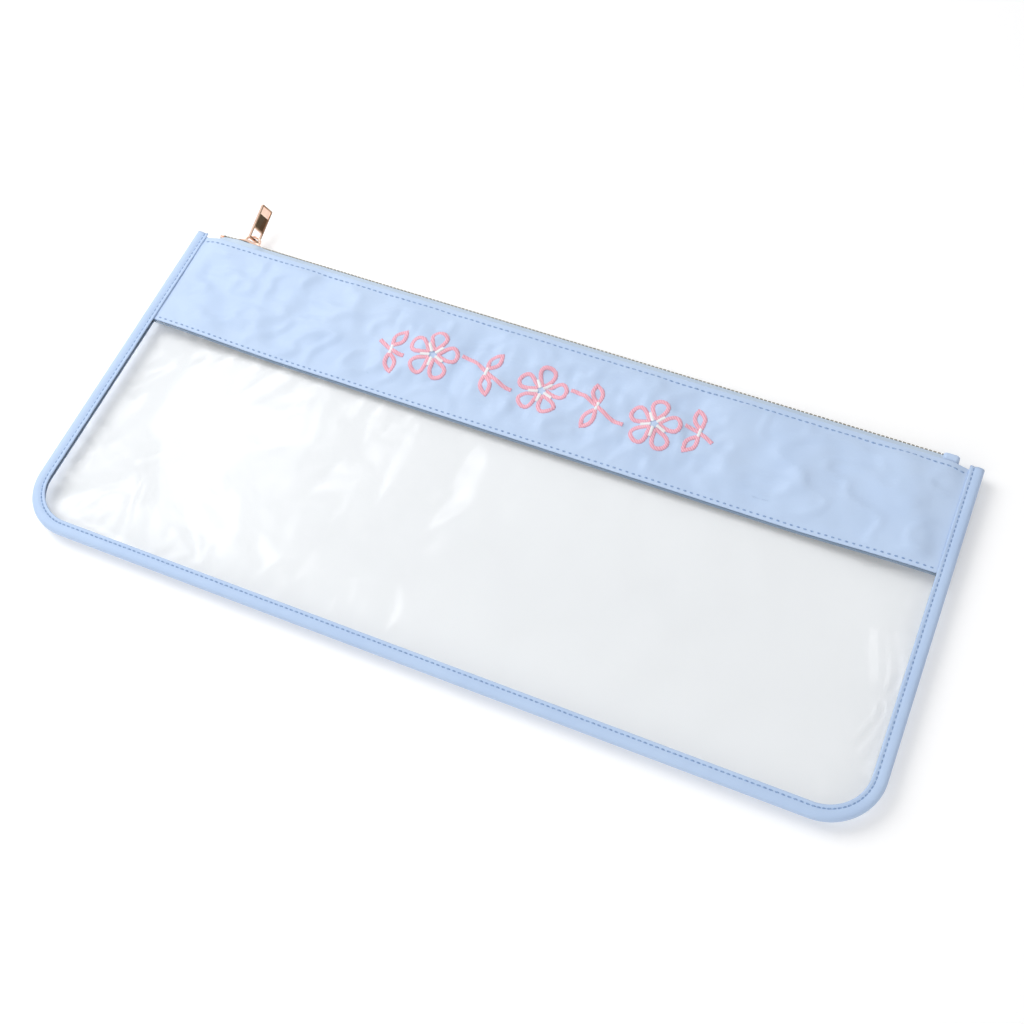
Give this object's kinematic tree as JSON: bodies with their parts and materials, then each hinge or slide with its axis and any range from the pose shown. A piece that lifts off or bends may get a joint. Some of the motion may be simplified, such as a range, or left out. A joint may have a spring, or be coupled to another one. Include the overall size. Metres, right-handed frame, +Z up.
{
  "type": "mahjong tile bag",
  "caption": "Flat zip-top tile bag with clear film panels, cloth bands along the zip and a bound edge; the slider runs along the chain.",
  "frame": {"origin": "on the table under the middle of the bag, on the back panel's flat resting face", "axes": "+X along the zip, from the closed end towards the open end; +Y across the bag towards the zip; +Z up, out of the front of the bag"},
  "size_m": [0.432, 0.2165, 0.0144],
  "materials": {
    "clear_film": "soft clear vinyl film, glossy",
    "band_cloth": "pale blue coated cloth with embroidery",
    "lining_cloth": "woven lining, slightly darker",
    "binding_cloth": "pale blue coated cloth binding with rolled edge",
    "zip_tape": "woven polyester tape",
    "zip_teeth": "pale gold lacquered teeth",
    "zip_metal": "polished rose gold plating",
    "rose_metal": "polished rose gold plating"
  },
  "bodies": {
    "bag": {"clear_front_panel": "clear_film", "clear_back_panel": "clear_film", "front_band": "band_cloth", "front_band_lining": "lining_cloth", "back_band": "band_cloth", "back_band_lining": "lining_cloth", "edge_binding": "binding_cloth", "front_zip_tape": "zip_tape", "back_zip_tape": "zip_tape", "front_teeth": "zip_teeth", "back_teeth": "zip_teeth", "front_top_stop": "zip_metal", "back_top_stop": "zip_metal", "bottom_stop": "zip_metal", "end_tab": "band_cloth"},
    "slider": {"slider_body": "rose_metal", "slider_bridge": "rose_metal"},
    "pull": {"zip_pull": "rose_metal"}
  },
  "joints": [
    {"name": "slider_slide", "type": "slide", "parent": "bag", "child": "slider", "axis": [1, 0, 0], "range_m": [-0.009, 0.372], "deforming": ["front_zip_tape", "back_zip_tape", "front_teeth", "back_teeth"]},
    {"name": "pull_pivot", "type": "hinge", "parent": "slider", "child": "pull", "pos_m": [-0.184, 0.10074, 0.00723], "axis": [0, 0.1736, -0.9848], "range_deg": [-60, 70]}
  ]
}
